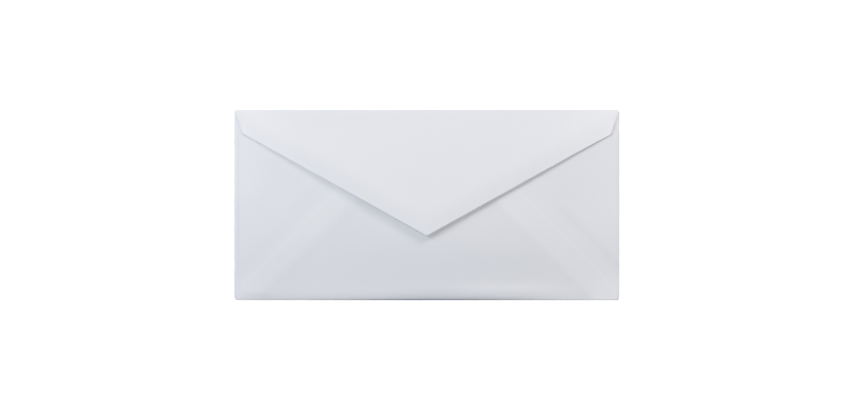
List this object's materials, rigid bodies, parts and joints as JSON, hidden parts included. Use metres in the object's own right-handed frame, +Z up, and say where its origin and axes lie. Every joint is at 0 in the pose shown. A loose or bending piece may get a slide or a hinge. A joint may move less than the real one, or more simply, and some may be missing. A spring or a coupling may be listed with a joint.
{
  "type": "paper envelope",
  "caption": "Plain white mailing envelope folded and glued from one sheet, with diagonal seams and a pointed closing flap folded down unsealed, for posting a letter.",
  "frame": {"origin": "under the middle of the envelope, on the surface it lies on", "axes": "+X along the long folds, +Y across the width towards the closing flap's fold, +Z up out of the flap side"},
  "size_m": [0.22, 0.109, 0.0052],
  "materials": {
    "paper": "matte"
  },
  "bodies": {
    "root": {"envelope": "paper"}
  },
  "joints": []
}
